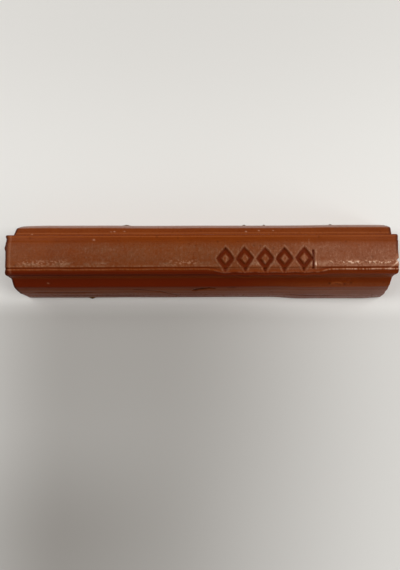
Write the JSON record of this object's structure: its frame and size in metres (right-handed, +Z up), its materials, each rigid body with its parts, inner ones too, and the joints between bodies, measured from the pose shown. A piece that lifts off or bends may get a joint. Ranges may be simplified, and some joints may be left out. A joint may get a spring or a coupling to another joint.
{
  "type": "furniture repair wax stick",
  "caption": "Solid bar of reddish-brown repair wax with a raised rail, sloping shoulders, bulged side walls and plain stamped marks, used to fill dents and scratches in wood.",
  "frame": {"origin": "middle of the flat base", "axes": "+X along the stick, towards the end that has the stamped marks; +Y across it, away from the side that the marks lie nearer to; +Z up from the flat base to the land on the rail"},
  "size_m": [0.11, 0.0226, 0.015],
  "materials": {
    "wax": "satin, reddish brown"
  },
  "bodies": {
    "root": {"wax_stick": "wax"}
  },
  "joints": []
}
